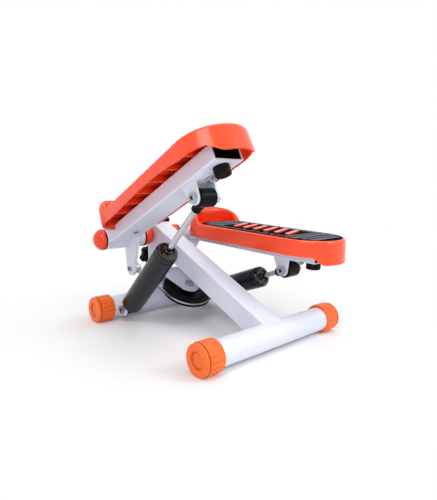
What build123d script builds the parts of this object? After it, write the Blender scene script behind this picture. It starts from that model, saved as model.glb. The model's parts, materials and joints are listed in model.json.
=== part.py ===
from build123d import *
from math import acos, atan2, cos, degrees, hypot, pi, radians, sin, tan
import os

os.makedirs("parts", exist_ok=True)

# A mini stepper. X is to the right, Y is forward (toes), Z is up, all in millimetres.
# The origin lies on the floor, under the middle of the machine.

# ---------------------------------------------------------------- driving dimensions

# Base
base_length = 323.0
rear_y = -157.337
rear_half_width = 159.0
front_foot_reach = 58.0
foot_tube_radius = 21.0
foot_tube_wall = 2.0
foot_cap_radius = 25.6
foot_cap_length = 34.0
foot_cap_end = 8.0
foot_cap_flat = 0.6
foot_cap_flutes = 20
main_tube_size = 40.0
main_tube_wall = 2.0
main_tube_rise = 138.9
post_width = 40.0
post_depth = 28.0
post_height = 165.0
post_wall = 2.0

# Pivot
pivot_height = 136.4
axle_radius = 8.0
axle_end_radius = 6.0
sleeve_radius = 19.5
sleeve_wall = 2.5
sleeve_inner_x = 45.0
sleeve_outer_x = 129.0
bush_flange = 3.0
bush_length = 20.0
dome_radius = 20.8
dome_height = 15.0

# Pedals
pedal_x = 97.0
left_tilt = 25.4
right_tilt = -2.1
arm_width = 55.0
arm_height = 25.0
arm_wall = 2.0
arm_bottom = -12.0
arm_end = 351.5
shell_half_width = 60.5
shell_toe = 42.6
shell_heel = 380.0
shell_toe_depth = 29.0
shell_heel_depth = 60.0
shell_flare = 1.8
shell_deck = 30.0
shell_rim = 3.0
shell_heel_rim = -10.0
shell_wall = 3.0
guard_height = 21.0
mat_inset = 5.0
mat_thickness = 2.5
mat_recess = 2.0
grip_count = 6
grip_pitch = 26.0
screw_front_s = 70.0
screw_rear_s = 304.0
screw_radius = 2.5
screw_head_radius = 5.0
screw_head_height = 2.5
bumper_s = 331.4
bumper_radius = 12.6
bumper_height = 14.6
bumper_stud_radius = 4.0
lever_outer_x = 80.0
lever_thickness = 6.0
cable_bolt_s = -12.0
cable_bolt_n = -62.0

# Hydraulic cylinders
lower_pivot_back = 36.0
lower_pivot_height = 0.4
upper_pivot_s = 278.5
upper_pivot_n = -36.4
cylinder_radius = 20.5
cylinder_wall = 3.0
cylinder_start = 14.0
cylinder_end = 190.0
gland_length = 15.0
rod_radius = 5.0
rod_length = 171.0
piston_thickness = 12.0
rod_end_radius = 14.6
rod_end_width = 31.0
rod_end_play = 2.5
bracket_play = 1.1
ear_thickness = 3.0
pivot_bolt_radius = 5.0
pivot_bolt_flats = 16.0
pivot_bolt_head = 5.0
pivot_nut_height = 6.0
thread_end = 2.0
lower_eye_radius = 11.0
lower_eye_width = 21.4

# Cable drive
pulley_behind_post = 97.0
pulley_above_foot = 32.4
pulley_radius = 49.0
groove_radius = 46.0
pulley_thickness = 10.0
cable_radius = 2.5
cable_x = 69.0
cable_bolt_radius = 3.0
cable_bolt_flats = 10.0
cable_bolt_head = 4.0
cable_nut_height = 5.0
cable_eye_half_width = 4.5
cable_grip_start = 13.0
cable_grip_end = 30.0
cable_eye_play = 1.8
fork_half_gap = 12.0
fork_plate = 3.0
fork_web_u = 60.0
adjust_rod_radius = 5.0
knob_radius = 26.0
knob_thickness = 12.0

# Fits and clearances
press_fit = 0.05
running_fit = 0.05
side_play = 0.3
bolt_fit = 0.1

# ---------------------------------------------------------------- derived places

foot_z = foot_cap_radius - foot_cap_flat
front_y = rear_y + base_length
front_half_width = pedal_x + front_foot_reach
main_tube_slope = degrees(atan2(main_tube_rise, base_length - post_depth / 2))
pivot_z = foot_z + pivot_height
post_top = foot_z + post_height
dome_base_x = sleeve_outer_x + bush_flange + side_play
inner_dome_base_x = sleeve_inner_x - bush_flange - side_play
lower_y = front_y - lower_pivot_back
lower_z = foot_z + lower_pivot_height
pulley_y = front_y - pulley_behind_post
pulley_z = foot_z + pulley_above_foot
slope_cos = cos(radians(main_tube_slope))
slope_sin = sin(radians(main_tube_slope))

SIDES = (("left", -1, left_tilt), ("right", 1, right_tilt))


def write(piece, name):
    """Label a finished piece and write it as its own STEP file."""
    piece.part.label = name
    export_step(piece.part, f"parts/{name}.step")


def side_view(x=0.0, y=0.0, z=0.0, tilt=0.0):
    """Upright plane that faces +X. Its own x axis runs forward and drops by tilt degrees."""
    return Plane(origin=(x, y, z), x_dir=(0, cos(radians(tilt)), -sin(radians(tilt))), z_dir=(1, 0, 0))


def facing(direction, x, y, z):
    """Upright plane that faces +X where direction is 1 and -X where it is -1."""
    return Plane(origin=(x, y, z), x_dir=(0, 1, 0), z_dir=(direction, 0, 0))


def pedal_point(tilt, s, n):
    """Y and Z of a point s mm from the pivot towards the heel and n mm above the pivot line."""
    y = front_y - s * cos(radians(tilt)) + n * sin(radians(tilt))
    z = pivot_z + s * sin(radians(tilt)) + n * cos(radians(tilt))
    return y, z


def pedal_side(tilt, x, s=0.0, n=0.0):
    """Side view of a pedal at x. Its own axes run towards the toe and square to the deck."""
    y, z = pedal_point(tilt, s, n)
    return side_view(x, y, z, tilt)


def pedal_deck(side, tilt, n):
    """Plane parallel to a pedal's deck, n mm above the pivot line, with y towards the toe."""
    y, z = pedal_point(tilt, 0, n)
    up = (0, sin(radians(tilt)), cos(radians(tilt)))
    return Plane(origin=(side * pedal_x, y, z), x_dir=(1, 0, 0), z_dir=up)


def pedal_section(side, tilt, s):
    """Plane across a pedal, s mm from the pivot, that faces the heel, with y square to the deck."""
    y, z = pedal_point(tilt, s, 0)
    back = (0, -cos(radians(tilt)), sin(radians(tilt)))
    return Plane(origin=(side * pedal_x, y, z), x_dir=(1, 0, 0), z_dir=back)


def turned(side, x, y, z):
    """Plane for turned profiles on a sideways axis: x outwards from the middle, y up from the axis."""
    return Plane(origin=(side * x, y, z), x_dir=(side, 0, 0), z_dir=(0, -side, 0))


def slope_side(u=0.0, w=0.0, x=0.0):
    """Side view on the pulley's plane: u forward up the slope, w square to it, from the pulley's centre."""
    y = pulley_y + u * slope_cos - w * slope_sin
    z = pulley_z + u * slope_sin + w * slope_cos
    return side_view(x, y, z, -main_tube_slope)


def slope_top(w):
    """Plane parallel to the pulley, w mm above its middle, with y forward up the slope."""
    origin = (0, pulley_y - w * slope_sin, pulley_z + w * slope_cos)
    return Plane(origin=origin, x_dir=(1, 0, 0), z_dir=(0, -slope_sin, slope_cos))


def slope_across(u):
    """Plane across the adjusting rod, u mm up the slope from the pulley's centre, that faces forward."""
    origin = (0, pulley_y + u * slope_cos, pulley_z + u * slope_sin)
    return Plane(origin=origin, x_dir=(-1, 0, 0), z_dir=(0, slope_cos, slope_sin))


def hexagon_bolt(head_plane, shank_radius, head_flats, head_height, shank_length):
    """A hexagon bolt. Its head rises from head_plane and its shank goes the other way."""
    with BuildPart() as bolt:
        with BuildSketch(head_plane):
            RegularPolygon(head_flats / 2, 6, major_radius=False)
        extrude(amount=head_height)
        with BuildSketch(head_plane):
            Circle(shank_radius)
        extrude(amount=-shank_length)
    return bolt.part


def hexagon_nut(plane, hole_radius, flats, height):
    """A hexagon nut that stands on plane."""
    with BuildPart() as nut:
        with BuildSketch(plane):
            RegularPolygon(flats / 2, 6, major_radius=False)
            Circle(hole_radius, mode=Mode.SUBTRACT)
        extrude(amount=height)
    return nut.part


# ---------------------------------------------------------------- base frame


def foot_tube(name, axis_y, half_width):
    """Round foot tube, open at both ends under the caps."""
    half_length = half_width - foot_cap_end
    with BuildPart() as tube:
        with BuildSketch(side_view(0, axis_y, foot_z)):
            Circle(foot_tube_radius)
            Circle(foot_tube_radius - foot_tube_wall, mode=Mode.SUBTRACT)
        extrude(amount=half_length, both=True)
    write(tube, name)


def foot_cap(name, side, axis_y, half_width):
    """Fluted moulded cap: a socket over the tube, a turned rim and a sunk end disc."""
    ring_radius = foot_cap_radius - 1.0
    rim_groove_radius = foot_cap_radius - 2.4
    ring_width = 4.5
    rim_chamfer = 1.4
    disc_radius = 13.3
    disc_depth = 2.6
    socket_radius = foot_tube_radius + press_fit
    flute_radius = 3.2
    flute_depth = 0.9
    pad_width = 12.0
    pad_length = 22.0
    pad_root = 1.2
    mouth = half_width - foot_cap_length
    pad_x = side * (mouth + foot_cap_length / 2 - 3)
    with BuildPart() as cap:
        with BuildSketch(turned(side, half_width, axis_y, foot_z)):
            with BuildLine():
                Polyline(
                    (-disc_depth, 0),
                    (-disc_depth, disc_radius - 0.6),
                    (0, disc_radius + 0.6),
                    (0, ring_radius - rim_chamfer),
                    (-rim_chamfer, ring_radius),
                    (-ring_width, ring_radius),
                    (-ring_width - 1, rim_groove_radius),
                    (-ring_width - 3, foot_cap_radius),
                    (-foot_cap_length + rim_chamfer, foot_cap_radius),
                    (-foot_cap_length, foot_cap_radius - rim_chamfer),
                    (-foot_cap_length, socket_radius),
                    (-foot_cap_end, socket_radius),
                    (-foot_cap_end, 0),
                    close=True,
                )
            make_face()
        revolve(axis=Axis((0, axis_y, foot_z), (1, 0, 0)))
        with BuildSketch(side_view(side * mouth, axis_y, foot_z)):
            with PolarLocations(foot_cap_radius + flute_radius - flute_depth, foot_cap_flutes):
                Circle(flute_radius)
        extrude(amount=side * foot_cap_length, mode=Mode.SUBTRACT)
        with BuildSketch(Plane(origin=(pad_x, axis_y, 0))):
            Rectangle(pad_length, pad_width)
        extrude(amount=foot_cap_flat + pad_root)
        with BuildSketch(Plane(origin=(pad_x, axis_y, 0))):
            Rectangle(3 * foot_cap_length, 3 * foot_cap_radius)
        extrude(amount=-foot_cap_radius, mode=Mode.SUBTRACT)
    write(cap, name)


def main_tube():
    """Square tube, coped onto the rear foot tube and cut off upright against the post."""
    section_plane = Plane(
        origin=(0, rear_y, foot_z), x_dir=(-1, 0, 0), z_dir=(0, slope_cos, slope_sin)
    )
    with BuildPart() as tube:
        with BuildSketch(section_plane):
            RectangleRounded(main_tube_size, main_tube_size, 3.0)
            inside = main_tube_size - 2 * main_tube_wall
            RectangleRounded(inside, inside, 1.0, mode=Mode.SUBTRACT)
        extrude(amount=2 * base_length)
        with BuildSketch(side_view(0, front_y - post_depth / 2, 0)):
            Rectangle(4 * base_length, 8 * base_length, align=(Align.MIN, Align.CENTER))
        extrude(amount=main_tube_size, both=True, mode=Mode.SUBTRACT)
        with BuildSketch(side_view(0, rear_y, foot_z)):
            Circle(foot_tube_radius)
        extrude(amount=main_tube_size, both=True, mode=Mode.SUBTRACT)
    write(tube, "main_tube")


def front_post():
    """Upright tube, coped onto the front foot tube, with holes for the axle and the adjusting rod."""
    with BuildPart() as post:
        with BuildSketch(Plane(origin=(0, front_y, foot_z))):
            RectangleRounded(post_width, post_depth, 3.0)
            RectangleRounded(post_width - 2 * post_wall, post_depth - 2 * post_wall, 1.0, mode=Mode.SUBTRACT)
        extrude(amount=post_height)
        with BuildSketch(side_view(0, front_y, foot_z)):
            Circle(foot_tube_radius)
        extrude(amount=post_width, both=True, mode=Mode.SUBTRACT)
        with BuildSketch(side_view(0, front_y, pivot_z)):
            Circle(axle_radius + press_fit)
        extrude(amount=post_width, both=True, mode=Mode.SUBTRACT)
        with BuildSketch(slope_across(fork_web_u)):
            Circle(adjust_rod_radius + side_play)
        extrude(amount=base_length / 2, mode=Mode.SUBTRACT)
    write(post, "front_post")


def post_cap():
    """Black plug that closes the post, with a rounded lid."""
    lid_height = 8.0
    plug_depth = 12.0
    inside_width = post_width - 2 * post_wall - 2 * press_fit
    inside_depth = post_depth - 2 * post_wall - 2 * press_fit
    with BuildPart() as cap:
        with BuildSketch(Plane(origin=(0, front_y, post_top))):
            RectangleRounded(post_width, post_depth, 3.0)
        extrude(amount=lid_height)
        fillet(cap.faces().sort_by(Axis.Z)[-1].edges(), radius=2.5)
        with BuildSketch(Plane(origin=(0, front_y, post_top))):
            RectangleRounded(inside_width, inside_depth, 1.2)
            RectangleRounded(inside_width - 4, inside_depth - 4, 1.0, mode=Mode.SUBTRACT)
        extrude(amount=-plug_depth)
    write(cap, "post_cap")


def pivot_axle():
    """Axle right through the post, turned down at both ends for its nuts."""
    nut_height = 8.0
    washer_height = 1.0
    washer_radius = 12.0
    nut_flats = 19.0
    end_x = dome_base_x + washer_height + nut_height + 1.0
    with BuildPart() as axle:
        with BuildSketch(side_view(0, front_y, pivot_z)):
            Circle(axle_radius)
        extrude(amount=dome_base_x, both=True)
        with BuildSketch(side_view(0, front_y, pivot_z)):
            Circle(axle_end_radius)
        extrude(amount=end_x, both=True)
    write(axle, "pivot_axle")

    with BuildPart() as nuts:
        for side in (-1, 1):
            with BuildSketch(facing(side, side * dome_base_x, front_y, pivot_z)):
                Circle(washer_radius)
                Circle(axle_end_radius + press_fit, mode=Mode.SUBTRACT)
            extrude(amount=washer_height)
        for side in (-1, 1):
            nut_x = side * (dome_base_x + washer_height + press_fit)
            nut_plane = facing(side, nut_x, front_y, pivot_z)
            add(hexagon_nut(nut_plane, axle_end_radius + press_fit, nut_flats, nut_height))
    write(nuts, "axle_nuts")


def axle_domes(word, side):
    """Orange domes: the outer one covers the axle's nut, the inner one spaces the pedal off the post."""
    axis = Axis((0, front_y, pivot_z), (1, 0, 0))
    nut_room_radius = 12.3
    nut_room_depth = 10.8
    with BuildPart() as outer:
        with BuildSketch(turned(side, dome_base_x, front_y, pivot_z)):
            with BuildLine():
                ThreePointArc((dome_height, 0), (0.70 * dome_height, 0.70 * dome_radius), (0, dome_radius))
                Polyline(
                    (0, dome_radius),
                    (0, nut_room_radius),
                    (nut_room_depth, nut_room_radius),
                    (nut_room_depth, 0),
                    (dome_height, 0),
                )
            make_face()
        revolve(axis=axis)
    write(outer, f"{word}_outer_dome")

    length = inner_dome_base_x - post_width / 2
    rim_radius = dome_radius - 0.8
    belly_radius = dome_radius - 3.2
    small_radius = 13.0
    with BuildPart() as inner:
        with BuildSketch(turned(side, inner_dome_base_x, front_y, pivot_z)):
            with BuildLine():
                Line((0, axle_radius + running_fit), (0, rim_radius))
                ThreePointArc((0, rim_radius), (-0.62 * length, belly_radius), (-length, small_radius))
                Line((-length, small_radius), (-length, axle_radius + running_fit))
                Line((-length, axle_radius + running_fit), (0, axle_radius + running_fit))
            make_face()
        revolve(axis=axis)
    write(inner, f"{word}_inner_dome")


def cylinder_clevis(word, side):
    """Two welded ears behind the front foot tube that carry a cylinder's lower eye."""
    ear_radius = 12.0
    inner_gap = lower_eye_width / 2 + side_play
    with BuildPart() as clevis:
        for x in (-inner_gap - ear_thickness, inner_gap):
            with BuildSketch(side_view(side * pedal_x + x, lower_y, lower_z)):
                Circle(ear_radius)
                with Locations((lower_pivot_back - 12, -lower_pivot_height)):
                    Circle(ear_radius + 3)
                make_hull()
                Circle(pivot_bolt_radius + bolt_fit, mode=Mode.SUBTRACT)
                with Locations((lower_pivot_back, -lower_pivot_height)):
                    Circle(foot_tube_radius, mode=Mode.SUBTRACT)
            extrude(amount=ear_thickness)
    write(clevis, f"{word}_cylinder_clevis")


def lower_cylinder_bolts():
    """Bolt and nut through each clevis, heads on the outside."""
    reach = lower_eye_width / 2 + side_play + ear_thickness
    shank = 2 * reach + pivot_nut_height + thread_end
    with BuildPart() as bolts:
        for side in (-1, 1):
            head_plane = facing(side, side * (pedal_x + reach), lower_y, lower_z)
            add(hexagon_bolt(head_plane, pivot_bolt_radius, pivot_bolt_flats, pivot_bolt_head, shank))
        for side in (-1, 1):
            nut_plane = facing(-side, side * (pedal_x - reach), lower_y, lower_z)
            add(hexagon_nut(nut_plane, pivot_bolt_radius + press_fit, pivot_bolt_flats, pivot_nut_height))
    write(bolts, "lower_cylinder_bolts")


# ---------------------------------------------------------------- pedals


def shell_outline(inset):
    """Pedal outline in the deck plane: straight sides, a full round heel and an elliptical toe."""
    half = shell_half_width - inset
    toe_line = -(shell_toe + shell_toe_depth)
    heel_line = -(shell_heel - shell_heel_depth)
    with BuildSketch() as outline:
        with BuildLine():
            Line((-half, heel_line), (-half, toe_line))
            EllipticalCenterArc((0, toe_line), half, shell_toe_depth - inset, start_angle=180, arc_size=-180)
            Line((half, toe_line), (half, heel_line))
            EllipticalCenterArc((0, heel_line), half, shell_heel_depth - inset, start_angle=0, arc_size=-180)
        make_face()
    return outline.sketch


def toe_guard(side, tilt):
    """Rounded wall that stands up round the toe, open towards the foot and lower at its two ends."""
    toe_line = -(shell_toe + shell_toe_depth)
    inset = 1.0
    wall = 7.0
    arm_length = 14.0
    arch_corner = 19.0
    end_slope = 24.0
    half = shell_half_width - inset
    inner_half = half - wall
    top = shell_deck + guard_height
    root = shell_deck - 2.0
    with BuildPart() as guard:
        with BuildSketch(pedal_deck(side, tilt, root)):
            with Locations((0, toe_line)):
                Ellipse(half, shell_toe_depth - inset)
                Rectangle(2 * half, arm_length, align=(Align.CENTER, Align.MAX))
                Ellipse(inner_half, shell_toe_depth - inset - wall, mode=Mode.SUBTRACT)
                with Locations((0, -shell_toe_depth)):
                    Rectangle(2 * inner_half, 2 * shell_toe_depth, mode=Mode.SUBTRACT)
            with Locations((0, toe_line - arm_length)):
                Rectangle(4 * half, 4 * shell_toe_depth, align=(Align.CENTER, Align.MAX), mode=Mode.SUBTRACT)
        extrude(amount=top - root)
        with BuildSketch(pedal_section(side, tilt, shell_toe - 5)):
            with Locations((0, top)):
                RectangleRounded(2 * half, 6 * guard_height, arch_corner, align=(Align.CENTER, Align.MAX))
        extrude(amount=3 * shell_toe_depth, mode=Mode.INTERSECT)
        with BuildSketch(pedal_side(tilt, side * pedal_x)):
            with BuildLine():
                Polyline(
                    (toe_line + end_slope, top + 1),
                    (toe_line - arm_length, root + 2),
                    (toe_line - 2 * shell_toe_depth, root + 2),
                    (toe_line - 2 * shell_toe_depth, top + 1),
                    close=True,
                )
            make_face()
        extrude(amount=2 * half, both=True, mode=Mode.SUBTRACT)
    return guard.part


def grip_bars(height):
    """Slanted raised bars in the middle of the deck."""
    bar_length = 62.0
    bar_width = 9.0
    bar_slant = 20.0
    middle = 217.0
    with BuildSketch() as bars:
        for number in range(grip_count):
            offset_s = middle + (number - (grip_count - 1) / 2) * grip_pitch
            with Locations(Location((0, -offset_s, 0), (0, 0, bar_slant))):
                SlotOverall(bar_length + 2 * height, bar_width + 2 * height)
    return bars.sketch


def mat_outline(inset):
    """Mat outline: follows the shell's sides and heel, and narrows to an ellipse inside the toe guard."""
    half = shell_half_width - mat_inset - inset
    shoulder = 88.0
    nose_half = 44.5 - inset
    nose_depth = 25.0 - inset
    with BuildSketch() as outline:
        add(shell_outline(mat_inset + inset))
        with Locations((0, -shoulder)):
            Rectangle(4 * half, 4 * half, align=(Align.CENTER, Align.MIN), mode=Mode.SUBTRACT)
        fillet(outline.vertices().group_by(Axis.Y)[-1], radius=9.0)
        with Locations((0, -shoulder)):
            Ellipse(nose_half, nose_depth)
    return outline.sketch


def pedal_shell(word, side, tilt):
    """Moulded foot pedal: deck, skirt with a deeper heel, ribs over the arm, toe guard and grip bars."""
    rib_thickness = 2.5
    rib_pitch = 42.0
    first_rib = 100.0
    rib_count = 6
    rib_bottom = 14.0
    arm_top = arm_bottom + arm_height
    ramp_start = 361.0
    ramp_end = 374.0
    edge_radius = 4.5
    grip_height = 3.0
    boss_radius = 6.0
    guard = toe_guard(side, tilt)
    with BuildPart() as shell:
        with BuildSketch(pedal_deck(side, tilt, shell_deck)):
            add(shell_outline(0))
        with BuildSketch(pedal_deck(side, tilt, shell_heel_rim)):
            add(shell_outline(-shell_flare))
        loft(ruled=True)
        top = pedal_deck(side, tilt, shell_deck)
        fillet(shell.faces().sort_by(Axis(top.origin, top.z_dir))[-1].edges(), radius=edge_radius)
        ceiling = shell_deck - shell_wall - mat_recess
        with BuildSketch(pedal_deck(side, tilt, ceiling)):
            add(shell_outline(shell_wall))
        with BuildSketch(pedal_deck(side, tilt, shell_heel_rim)):
            add(shell_outline(shell_wall - shell_flare))
        loft(ruled=True, mode=Mode.SUBTRACT)
        for number in range(rib_count):
            with BuildSketch(pedal_section(side, tilt, first_rib + number * rib_pitch)):
                with Locations((0, rib_bottom)):
                    Rectangle(
                        2 * (shell_half_width - shell_wall) + 1,
                        ceiling - rib_bottom,
                        align=(Align.CENTER, Align.MIN),
                    )
            extrude(amount=rib_thickness / 2, both=True)
        with BuildSketch(pedal_section(side, tilt, 0)):
            with Locations((0, arm_top)):
                Rectangle(arm_width + 2 * side_play, 3 * arm_height, align=(Align.CENTER, Align.MAX))
        extrude(amount=arm_end + side_play, mode=Mode.SUBTRACT)
        with BuildSketch(pedal_side(tilt, side * pedal_x)):
            with BuildLine():
                Polyline(
                    (0, shell_rim),
                    (-ramp_start, shell_rim),
                    (-ramp_end, shell_heel_rim),
                    (-ramp_end, 2 * shell_heel_rim),
                    (0, 2 * shell_heel_rim),
                    close=True,
                )
            make_face()
        extrude(amount=2 * shell_half_width, both=True, mode=Mode.SUBTRACT)
        add(guard)
        with BuildSketch(pedal_deck(side, tilt, shell_deck - mat_recess)):
            add(mat_outline(-bolt_fit))
        extrude(amount=mat_recess + 0.5, mode=Mode.SUBTRACT)
        with BuildSketch(pedal_deck(side, tilt, shell_deck - mat_recess)):
            add(grip_bars(0))
        extrude(amount=mat_recess + grip_height)
        with BuildSketch(pedal_deck(side, tilt, arm_top)):
            with Locations((0, -screw_front_s), (0, -screw_rear_s)):
                Circle(boss_radius)
        extrude(amount=ceiling - arm_top)
        with BuildSketch(pedal_deck(side, tilt, arm_top)):
            with Locations((0, -screw_front_s), (0, -screw_rear_s)):
                Circle(screw_radius + press_fit)
        extrude(amount=ceiling - arm_top - 1, mode=Mode.SUBTRACT)
    write(shell, f"{word}_pedal_shell")


def pedal_mat(word, side, tilt):
    """Black mat let into the deck, with slots for the grip bars."""
    with BuildPart() as mat:
        with BuildSketch(pedal_deck(side, tilt, shell_deck - mat_recess)):
            add(mat_outline(0))
            add(grip_bars(side_play), mode=Mode.SUBTRACT)
        extrude(amount=mat_thickness)
    write(mat, f"{word}_pedal_mat")


def pivot_sleeve(word, side):
    """Tube across the front of the pedal that turns on the axle."""
    with BuildPart() as sleeve:
        with BuildSketch(side_view(side * sleeve_inner_x, front_y, pivot_z)):
            Circle(sleeve_radius)
            Circle(sleeve_radius - sleeve_wall, mode=Mode.SUBTRACT)
        extrude(amount=side * (sleeve_outer_x - sleeve_inner_x))
    write(sleeve, f"{word}_pivot_sleeve")


def pivot_bushes(word, side):
    """Flanged black bush in each end of the sleeve."""
    barrel = sleeve_radius - sleeve_wall - press_fit
    flange_radius = sleeve_radius + 0.7
    axis = Axis((0, front_y, pivot_z), (1, 0, 0))
    with BuildPart() as bushes:
        for end_x, inward in ((sleeve_inner_x, 1), (sleeve_outer_x, -1)):
            with BuildSketch(turned(side, end_x, front_y, pivot_z)):
                with BuildLine():
                    Polyline(
                        (inward * bush_length, axle_radius + running_fit),
                        (inward * bush_length, barrel),
                        (0, barrel),
                        (0, flange_radius),
                        (-inward * bush_flange, flange_radius),
                        (-inward * bush_flange, axle_radius + running_fit),
                        close=True,
                    )
                make_face()
            revolve(axis=axis)
    write(bushes, f"{word}_pivot_bushes")


def pedal_arm(word, side, tilt):
    """Rectangular tube under the shell, coped onto the sleeve and open at the heel."""
    middle = arm_bottom + arm_height / 2
    inside_width = arm_width - 2 * arm_wall
    inside_height = arm_height - 2 * arm_wall
    with BuildPart() as arm:
        with BuildSketch(pedal_section(side, tilt, 0)):
            with Locations((0, middle)):
                RectangleRounded(arm_width, arm_height, 2.5)
                RectangleRounded(inside_width, inside_height, 1.0, mode=Mode.SUBTRACT)
        extrude(amount=arm_end)
        with BuildSketch(side_view(side * pedal_x, front_y, pivot_z)):
            Circle(sleeve_radius)
        extrude(amount=arm_width, both=True, mode=Mode.SUBTRACT)
        with BuildSketch(pedal_deck(side, tilt, arm_bottom)):
            with Locations((0, -screw_front_s), (0, -screw_rear_s)):
                Circle(screw_radius + bolt_fit)
        extrude(amount=arm_height, mode=Mode.SUBTRACT)
        with BuildSketch(pedal_deck(side, tilt, arm_bottom)):
            with Locations((0, -bumper_s)):
                Circle(bumper_stud_radius + press_fit)
        extrude(amount=arm_wall + 0.5, mode=Mode.SUBTRACT)
    write(arm, f"{word}_pedal_arm")


def lever(word, side, tilt):
    """Plate welded under the sleeve and the arm that pulls on the cable."""
    end_radius = 14.0
    top_front = -10.0
    top_rear = 42.0
    inner_x = lever_outer_x - lever_thickness
    with BuildPart() as plate:
        with BuildSketch(pedal_side(tilt, side * inner_x)):
            with Locations((-cable_bolt_s, cable_bolt_n)):
                Circle(end_radius)
            with Locations((-(top_front + top_rear) / 2, arm_bottom)):
                Rectangle(top_rear - top_front, 2.0, align=(Align.CENTER, Align.MAX))
            make_hull()
            Circle(sleeve_radius, mode=Mode.SUBTRACT)
            with Locations((-cable_bolt_s, cable_bolt_n)):
                Circle(cable_bolt_radius + bolt_fit, mode=Mode.SUBTRACT)
        extrude(amount=side * lever_thickness)
    write(plate, f"{word}_lever")


def upper_bracket(word, side, tilt):
    """Folded U bracket under the arm: a base plate and two ears for the upper cylinder bolt."""
    ear_radius = 11.0
    base_front = 258.0
    base_rear = 312.0
    ear_foot = 34.0
    inner_gap = rod_end_width / 2 + bracket_play
    outer = inner_gap + ear_thickness
    with BuildPart() as bracket:
        with BuildSketch(pedal_deck(side, tilt, arm_bottom)):
            with Locations((0, -(base_front + base_rear) / 2)):
                RectangleRounded(2 * outer, base_rear - base_front, 2.0)
            with Locations((0, -screw_rear_s)):
                Circle(screw_radius + bolt_fit, mode=Mode.SUBTRACT)
        extrude(amount=-ear_thickness)
        for x in (-outer, inner_gap):
            with BuildSketch(pedal_side(tilt, side * pedal_x + x)):
                with Locations((-upper_pivot_s, upper_pivot_n)):
                    Circle(ear_radius)
                with Locations((-base_front - ear_foot / 2, arm_bottom)):
                    Rectangle(ear_foot, 2.0, align=(Align.CENTER, Align.MAX))
                make_hull()
                with Locations((-upper_pivot_s, upper_pivot_n)):
                    Circle(pivot_bolt_radius + bolt_fit, mode=Mode.SUBTRACT)
            extrude(amount=ear_thickness)
    write(bracket, f"{word}_upper_bracket")


def bumper(word, side, tilt):
    """Rubber buffer under the heel, with a stud through the arm's lower wall."""
    with BuildPart() as rubber:
        with BuildSketch(pedal_deck(side, tilt, arm_bottom)):
            with Locations((0, -bumper_s)):
                Circle(bumper_radius)
        extrude(amount=-bumper_height)
        bottom = pedal_deck(side, tilt, arm_bottom)
        fillet(rubber.faces().sort_by(Axis(bottom.origin, bottom.z_dir))[0].edges(), radius=2.0)
        with BuildSketch(pedal_deck(side, tilt, arm_bottom)):
            with Locations((0, -bumper_s)):
                Circle(bumper_stud_radius)
        extrude(amount=arm_wall)
    write(rubber, f"{word}_bumper")


def pedal_bolts(word, side, tilt):
    """Upper cylinder bolt and cable bolt, each with its nut."""
    reach = rod_end_width / 2 + bracket_play + ear_thickness
    shank = 2 * reach + pivot_nut_height + thread_end
    upper_y, upper_z = pedal_point(tilt, upper_pivot_s, upper_pivot_n)
    cable_y, cable_z = pedal_point(tilt, cable_bolt_s, cable_bolt_n)
    nut_x = cable_x - cable_eye_half_width - 1.5
    cable_shank = lever_outer_x - nut_x + cable_nut_height + thread_end / 2
    with BuildPart() as bolts:
        head_plane = facing(-1, side * pedal_x - reach, upper_y, upper_z)
        add(hexagon_bolt(head_plane, pivot_bolt_radius, pivot_bolt_flats, pivot_bolt_head, shank))
        nut_plane = facing(1, side * pedal_x + reach, upper_y, upper_z)
        add(hexagon_nut(nut_plane, pivot_bolt_radius + press_fit, pivot_bolt_flats, pivot_nut_height))
        head_plane = facing(side, side * lever_outer_x, cable_y, cable_z)
        add(hexagon_bolt(head_plane, cable_bolt_radius, cable_bolt_flats, cable_bolt_head, cable_shank))
        nut_plane = facing(-side, side * nut_x, cable_y, cable_z)
        add(hexagon_nut(nut_plane, cable_bolt_radius + press_fit, cable_bolt_flats, cable_nut_height))
    write(bolts, f"{word}_pedal_bolts")


def pedal_screws(word, side, tilt):
    """Screws up through the arm into the shell's bosses; the rear one also holds the bracket."""
    tip = shell_deck - shell_wall - mat_recess - 2
    with BuildPart() as screws:
        for s, seat in ((screw_front_s, arm_bottom), (screw_rear_s, arm_bottom - ear_thickness)):
            with BuildSketch(pedal_deck(side, tilt, seat)):
                with Locations((0, -s)):
                    Circle(screw_head_radius)
            extrude(amount=-screw_head_height)
            with BuildSketch(pedal_deck(side, tilt, seat)):
                with Locations((0, -s)):
                    Circle(screw_radius)
            extrude(amount=tip - seat)
    write(screws, f"{word}_pedal_screws")


# ---------------------------------------------------------------- hydraulic cylinders


def cylinder_axis(tilt):
    """Length and elevation of the line from the lower to the upper cylinder bolt at rest."""
    upper_y, upper_z = pedal_point(tilt, upper_pivot_s, upper_pivot_n)
    length = hypot(upper_y - lower_y, upper_z - lower_z)
    elevation = degrees(atan2(upper_z - lower_z, lower_y - upper_y))
    return length, elevation


def cylinder_across(side, tilt, t):
    """Plane across a cylinder, t mm from its lower bolt, that faces the upper bolt."""
    elevation = radians(cylinder_axis(tilt)[1])
    origin = (side * pedal_x, lower_y - t * cos(elevation), lower_z + t * sin(elevation))
    return Plane(origin=origin, x_dir=(1, 0, 0), z_dir=(0, -cos(elevation), sin(elevation)))


def cylinder_profile(side, tilt):
    """Plane for profiles turned about a cylinder's axis: x along the axis, y out from it."""
    elevation = radians(cylinder_axis(tilt)[1])
    along = (0, -cos(elevation), sin(elevation))
    return Plane(origin=(side * pedal_x, lower_y, lower_z), x_dir=along, z_dir=(-1, 0, 0))


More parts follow.
